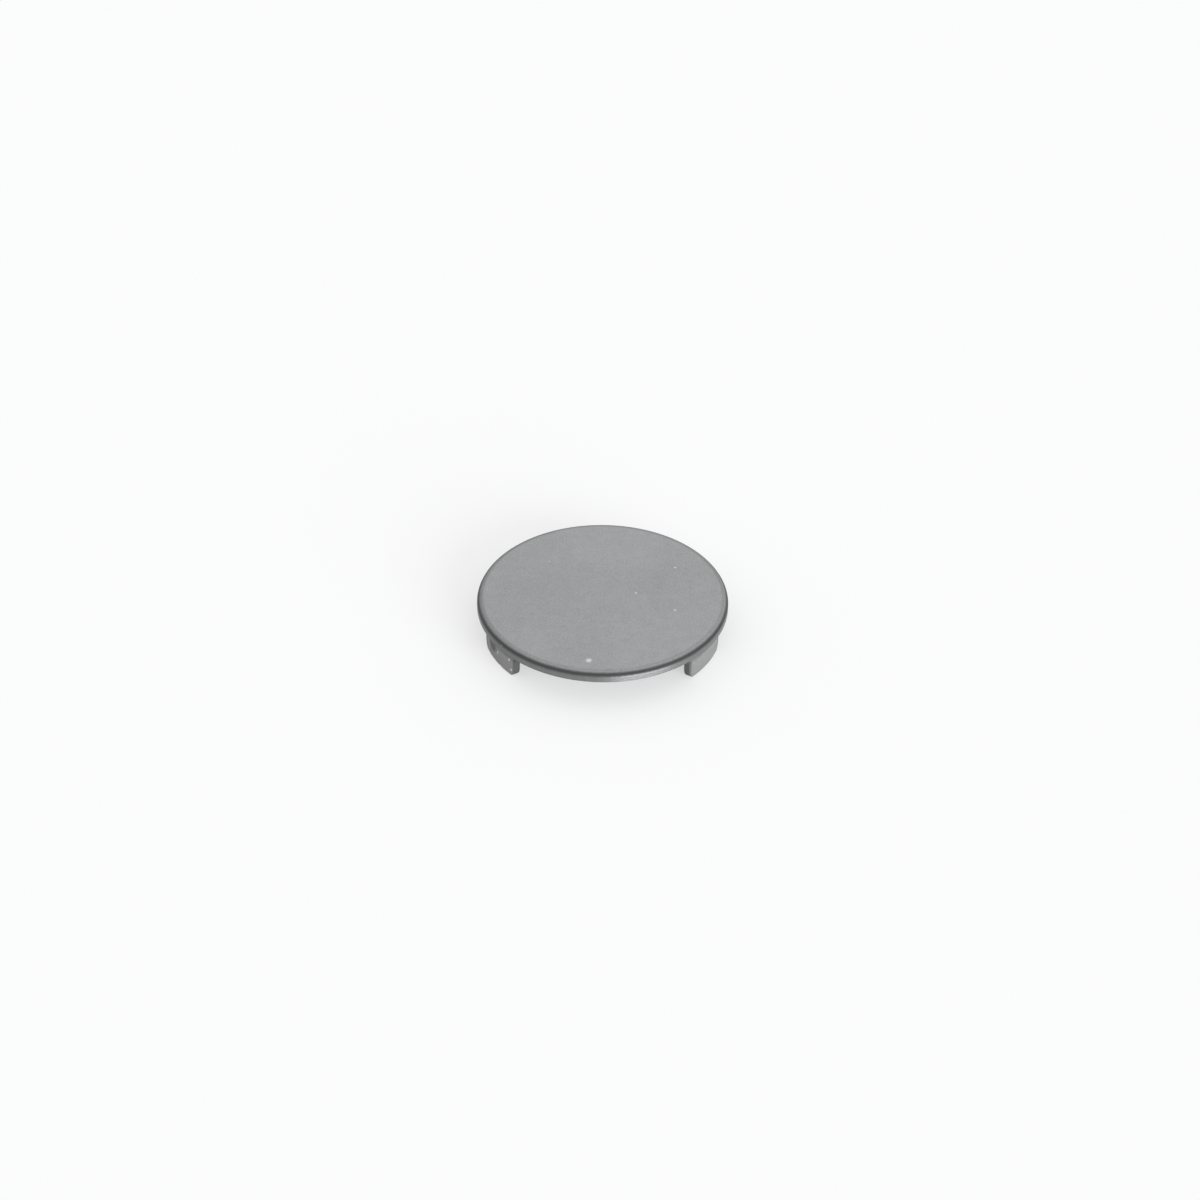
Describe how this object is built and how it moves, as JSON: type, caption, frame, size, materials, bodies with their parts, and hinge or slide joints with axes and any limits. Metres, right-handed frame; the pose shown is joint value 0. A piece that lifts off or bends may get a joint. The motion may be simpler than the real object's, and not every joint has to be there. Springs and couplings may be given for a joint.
{
  "type": "hole cap",
  "caption": "Round moulded plastic cap that snaps into a round hole in a thin panel: flat fine-grained head with a rounded rim over short curved snap legs.",
  "frame": {"origin": "on the cap's axis, in the plane on which the leg tips stand", "axes": "+Z along the cap's axis, from the leg tips to the head; +Y through the middle of one leg"},
  "size_m": [0.037, 0.037, 0.006],
  "materials": {
    "moulded_plastic": "fine spark-eroded grain on top, smoother satin rim and legs"
  },
  "bodies": {
    "root": {"hole_cap": "moulded_plastic"}
  },
  "joints": []
}
